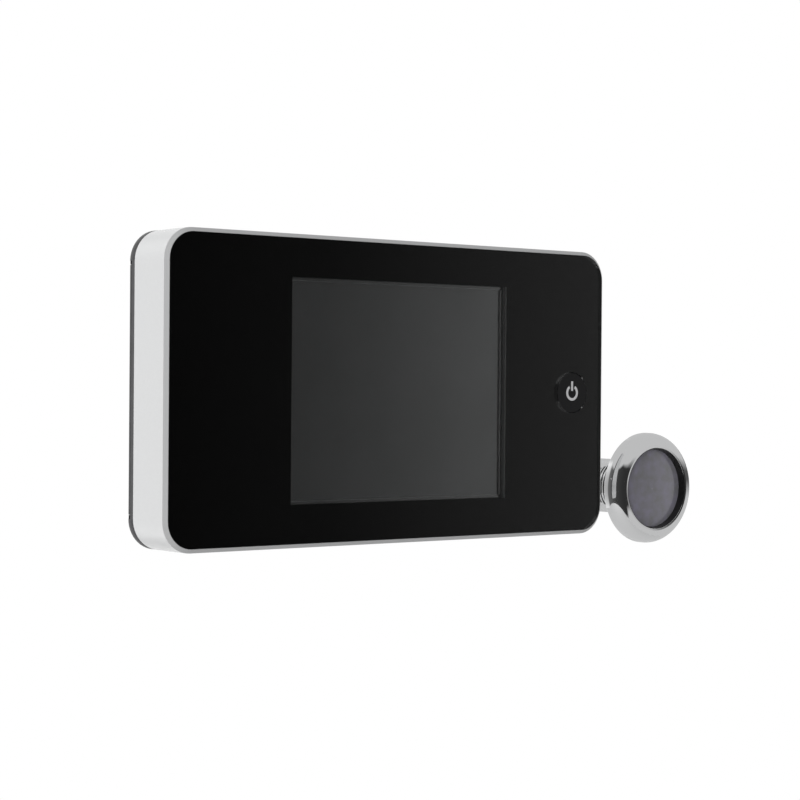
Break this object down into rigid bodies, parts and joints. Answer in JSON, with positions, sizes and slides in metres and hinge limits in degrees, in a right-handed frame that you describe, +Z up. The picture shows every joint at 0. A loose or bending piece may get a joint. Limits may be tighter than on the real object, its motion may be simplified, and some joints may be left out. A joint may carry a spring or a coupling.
{
  "type": "peephole door camera",
  "caption": "Door viewer set: a thin monitor with a screen in a glossy black panel and silver frame, hung on a hooked bracket, and a round chromed camera with a barrel for the door.",
  "frame": {"origin": "on the door's face, midway between the two clamp screws, where the viewer hole's axis is", "axes": "+X to the right as the screen is read, +Y into the door along the clamp screws, +Z up; the screen faces -Y"},
  "size_m": [0.1679, 0.0535, 0.0724],
  "materials": {
    "panel_acrylic": "clear polished acrylic sheet",
    "mask_black": "black print, glossy behind the clear sheet",
    "adhesive_sheet": "milky adhesive sheet",
    "frame_silver": "fine silver paint, satin",
    "cover_dark": "fine moulded texture",
    "screen_black": "dark screen glass, glossy",
    "steel_sheet": "plain sheet steel",
    "light_guide": "white light guide",
    "flex_film": "amber film",
    "socket_plastic": "moulded socket plastic",
    "board_green": "green solder mask",
    "chip_black": "chip moulding",
    "can_metal": "bare can",
    "ferrite": "sintered ferrite",
    "screw_steel": "zinc plated",
    "cell_jacket": "plain printed jacket over a metal can",
    "contact_metal": "nickel plated",
    "button_black": "polished black",
    "plunger_white": "moulded",
    "bracket_steel": "zinc plated sheet",
    "foam_white": "closed cell foam tape",
    "chrome_bright": "polished chrome plate",
    "washer_rubber": "black rubber",
    "ring_black": "black anodised look",
    "window_grey": "smoky coated glass",
    "lens_glass": "coated lens",
    "holder_black": "moulded",
    "plug_nickel": "nickel plated brass"
  },
  "bodies": {
    "bracket": {"bracket_plate": "bracket_steel", "foam_tape": "foam_white", "clamp_screws": "screw_steel"},
    "monitor": {"front_panel": "panel_acrylic", "panel_mask": "mask_black", "panel_adhesive": "adhesive_sheet", "front_frame": "frame_silver", "back_cover": "cover_dark", "screen_tray": "steel_sheet", "screen_glass": "screen_black", "backlight": "light_guide", "screen_flex": "flex_film", "flex_socket": "socket_plastic", "main_board": "board_green", "main_chip": "chip_black", "driver_chip": "chip_black", "capacitors": "can_metal", "coil": "ferrite", "ribbon_socket": "socket_plastic", "switch_body": "chip_black", "board_screws": "screw_steel", "cover_screws": "screw_steel", "cell_left": "cell_jacket", "cell_right": "cell_jacket", "contact_springs": "contact_metal", "contact_plates": "contact_metal"},
    "power_button": {"power_button": "button_black", "switch_plunger": "plunger_white"},
    "battery_door": {"battery_door": "cover_dark"},
    "camera": {"camera_housing": "chrome_bright", "door_washer": "washer_rubber", "lens_ring": "ring_black", "lens_window": "window_grey", "lens_tube": "holder_black", "lens_bead": "lens_glass", "lens_holder": "holder_black", "image_sensor": "chip_black", "sensor_board": "board_green", "end_plug": "plug_nickel"}
  },
  "joints": [
    {"name": "monitor_lift", "type": "slide", "parent": "bracket", "child": "monitor", "axis": [0, 0, 1], "range_m": [0, 0.0054]},
    {"name": "button_press", "type": "slide", "parent": "monitor", "child": "power_button", "axis": [0, 1, 0], "range_m": [0, 0.0003], "stiffness_N_per_m": 300, "springref_m": -0.0003},
    {"name": "door_slide", "type": "slide", "parent": "monitor", "child": "battery_door", "axis": [-1, 0, 0], "range_m": [0, 0.027]},
    {"name": "camera_pull", "type": "slide", "parent": "bracket", "child": "camera", "axis": [0, -1, 0], "range_m": [0, 0.04]}
  ]
}
